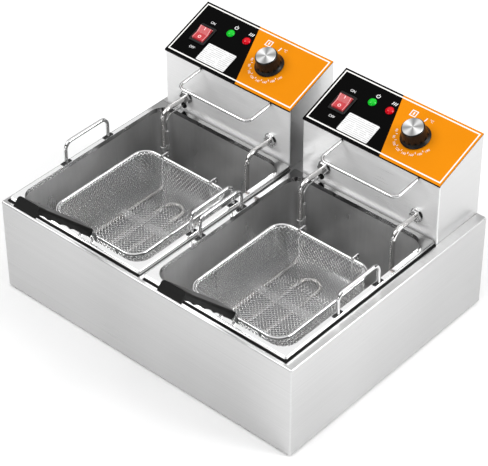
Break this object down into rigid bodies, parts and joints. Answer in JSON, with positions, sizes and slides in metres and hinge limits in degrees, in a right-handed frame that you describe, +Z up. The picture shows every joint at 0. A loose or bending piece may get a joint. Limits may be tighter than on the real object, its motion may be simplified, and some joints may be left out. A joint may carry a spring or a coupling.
{
  "type": "deep fryer",
  "caption": "Countertop electric deep fryer with twin lift-out oil tanks, mesh baskets and lift-off sloped control heads carrying the heating elements.",
  "frame": {"origin": "centre of the bounding box's base, on the worktop under the feet", "axes": "+X to the machine's right as seen from the front, +Y from the front to the back, +Z up"},
  "size_m": [0.56, 0.5424, 0.3138],
  "materials": {
    "casing_steel": "brushed stainless sheet",
    "tank_steel": "satin deep-drawn stainless",
    "deck_steel": "plain stainless sheet",
    "bright_wire": "bright chromed wire",
    "mesh_wire": "woven chromed wire",
    "element_metal": "polished element tube",
    "fastener_steel": "plain zinc plated",
    "black_grip": "black moulded phenolic, satin",
    "black_plastic": "black moulded plastic",
    "panel_print": "printed in black and orange with a white border",
    "label_white": "plain white plate",
    "knob_metal": "spun aluminium",
    "rocker_red": "translucent red",
    "lens_green": "translucent green",
    "lens_red": "translucent red",
    "rubber_black": "black rubber",
    "probe_metal": "drawn tube",
    "reset_red": "red moulded plastic"
  },
  "bodies": {
    "casing": {"casing_shell": "casing_steel", "bottom_plate": "deck_steel", "back_panel": "deck_steel", "casing_screws": "fastener_steel", "feet": "rubber_black", "locating_pegs": "fastener_steel"},
    "tank_left": {"tank_left": "tank_steel", "tank_handles_left": "bright_wire"},
    "head_left": {"head_housing_left": "casing_steel", "head_base_left": "deck_steel", "head_back_left": "deck_steel", "control_panel_left": "panel_print", "label_plate_left": "label_white", "basket_bail_left": "bright_wire", "element_left": "element_metal", "element_nuts_left": "fastener_steel", "element_straps_left": "element_metal", "thermostat_probe_left": "probe_metal", "grommet_left": "rubber_black", "thermostat_left": "black_plastic", "switch_bezel_left": "black_plastic", "lamp_green_left": "lens_green", "lamp_red_left": "lens_red", "cable_gland_left": "black_plastic"},
    "basket_left": {"basket_frame_left": "bright_wire", "basket_mesh_left": "mesh_wire", "basket_grip_left": "black_grip", "grip_brace_left": "bright_wire"},
    "knob_left": {"knob_left": "black_plastic", "knob_cap_left": "knob_metal", "thermostat_shaft_left": "fastener_steel"},
    "rocker_left": {"rocker_left": "rocker_red"},
    "reset_left": {"reset_button_left": "reset_red"},
    "tank_right": {"tank_right": "tank_steel", "tank_handles_right": "bright_wire"},
    "head_right": {"head_housing_right": "casing_steel", "head_base_right": "deck_steel", "head_back_right": "deck_steel", "control_panel_right": "panel_print", "label_plate_right": "label_white", "basket_bail_right": "bright_wire", "element_right": "element_metal", "element_nuts_right": "fastener_steel", "element_straps_right": "element_metal", "thermostat_probe_right": "probe_metal", "grommet_right": "rubber_black", "thermostat_right": "black_plastic", "switch_bezel_right": "black_plastic", "lamp_green_right": "lens_green", "lamp_red_right": "lens_red", "cable_gland_right": "black_plastic"},
    "basket_right": {"basket_frame_right": "bright_wire", "basket_mesh_right": "mesh_wire", "basket_grip_right": "black_grip", "grip_brace_right": "bright_wire"},
    "knob_right": {"knob_right": "black_plastic", "knob_cap_right": "knob_metal", "thermostat_shaft_right": "fastener_steel"},
    "rocker_right": {"rocker_right": "rocker_red"},
    "reset_right": {"reset_button_right": "reset_red"}
  },
  "joints": [
    {"name": "tank_lift_left", "type": "slide", "parent": "casing", "child": "tank_left", "axis": [0, 0, 1], "range_m": [0, 0.165]},
    {"name": "head_lift_left", "type": "slide", "parent": "tank_left", "child": "head_left", "axis": [0, 0, 1], "range_m": [0, 0.27]},
    {"name": "basket_lift_left", "type": "slide", "parent": "head_left", "child": "basket_left", "axis": [0, 0, 1], "range_m": [0, 0.26]},
    {"name": "knob_turn_left", "type": "hinge", "parent": "head_left", "child": "knob_left", "pos_m": [-0.0948, 0.20516, 0.29489], "axis": [0, 0.3526, -0.9358], "range_deg": [0, 260]},
    {"name": "rocker_tip_left", "type": "hinge", "parent": "head_left", "child": "rocker_left", "pos_m": [-0.2268, 0.20641, 0.28307], "axis": [-1, 0, 0], "range_deg": [0, 14]},
    {"name": "reset_press_left", "type": "slide", "parent": "head_left", "child": "reset_left", "axis": [0, -1, 0], "range_m": [0, 0.002], "stiffness_N_per_m": 600, "springref_m": -0.001},
    {"name": "tank_lift_right", "type": "slide", "parent": "casing", "child": "tank_right", "axis": [0, 0, 1], "range_m": [0, 0.165]},
    {"name": "head_lift_right", "type": "slide", "parent": "tank_right", "child": "head_right", "axis": [0, 0, 1], "range_m": [0, 0.27]},
    {"name": "basket_lift_right", "type": "slide", "parent": "head_right", "child": "basket_right", "axis": [0, 0, 1], "range_m": [0, 0.26]},
    {"name": "knob_turn_right", "type": "hinge", "parent": "head_right", "child": "knob_right", "pos_m": [0.1808, 0.20516, 0.29489], "axis": [0, 0.3526, -0.9358], "range_deg": [0, 260]},
    {"name": "rocker_tip_right", "type": "hinge", "parent": "head_right", "child": "rocker_right", "pos_m": [0.0488, 0.20641, 0.28307], "axis": [-1, 0, 0], "range_deg": [0, 14]},
    {"name": "reset_press_right", "type": "slide", "parent": "head_right", "child": "reset_right", "axis": [0, -1, 0], "range_m": [0, 0.002], "stiffness_N_per_m": 600, "springref_m": -0.001}
  ]
}
